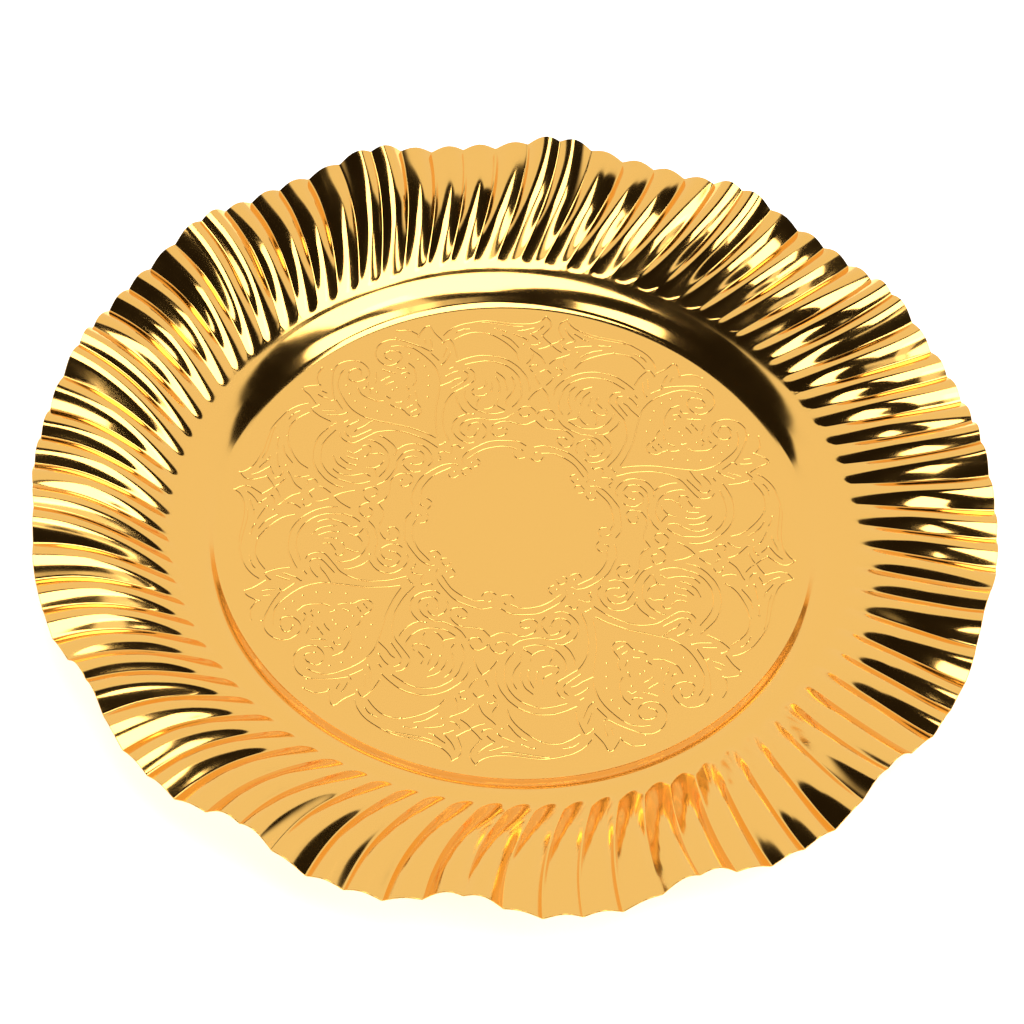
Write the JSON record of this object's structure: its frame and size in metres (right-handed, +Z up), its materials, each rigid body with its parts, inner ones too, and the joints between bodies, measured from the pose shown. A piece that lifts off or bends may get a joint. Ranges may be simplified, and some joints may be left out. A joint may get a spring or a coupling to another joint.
{
  "type": "serving tray",
  "caption": "Round pressed brass serving tray with an engraved floor, a low curved wall and a wide fluted rim with a wavy edge.",
  "frame": {"origin": "on the table plane under the middle of the floor, which is the bottom centre of the bounding box", "axes": "+Z up through the middle of the tray; +X and +Y lie on the floor along two axes of the engraving, between its corner motifs"},
  "size_m": [0.3302, 0.329, 0.0318],
  "materials": {
    "polished_brass": "mirror-polished pressed sheet with a clear lacquer-like shine"
  },
  "bodies": {
    "root": {"floor_panel": "polished_brass", "well_wall": "polished_brass", "shoulder": "polished_brass", "rim_lobe_01": "polished_brass", "rim_lobe_02": "polished_brass", "rim_lobe_03": "polished_brass", "rim_lobe_04": "polished_brass", "rim_lobe_05": "polished_brass", "rim_lobe_06": "polished_brass", "rim_lobe_07": "polished_brass", "rim_lobe_08": "polished_brass", "rim_lobe_09": "polished_brass", "rim_lobe_10": "polished_brass", "rim_lobe_11": "polished_brass", "rim_lobe_12": "polished_brass", "rim_lobe_13": "polished_brass", "rim_lobe_14": "polished_brass"}
  },
  "joints": []
}
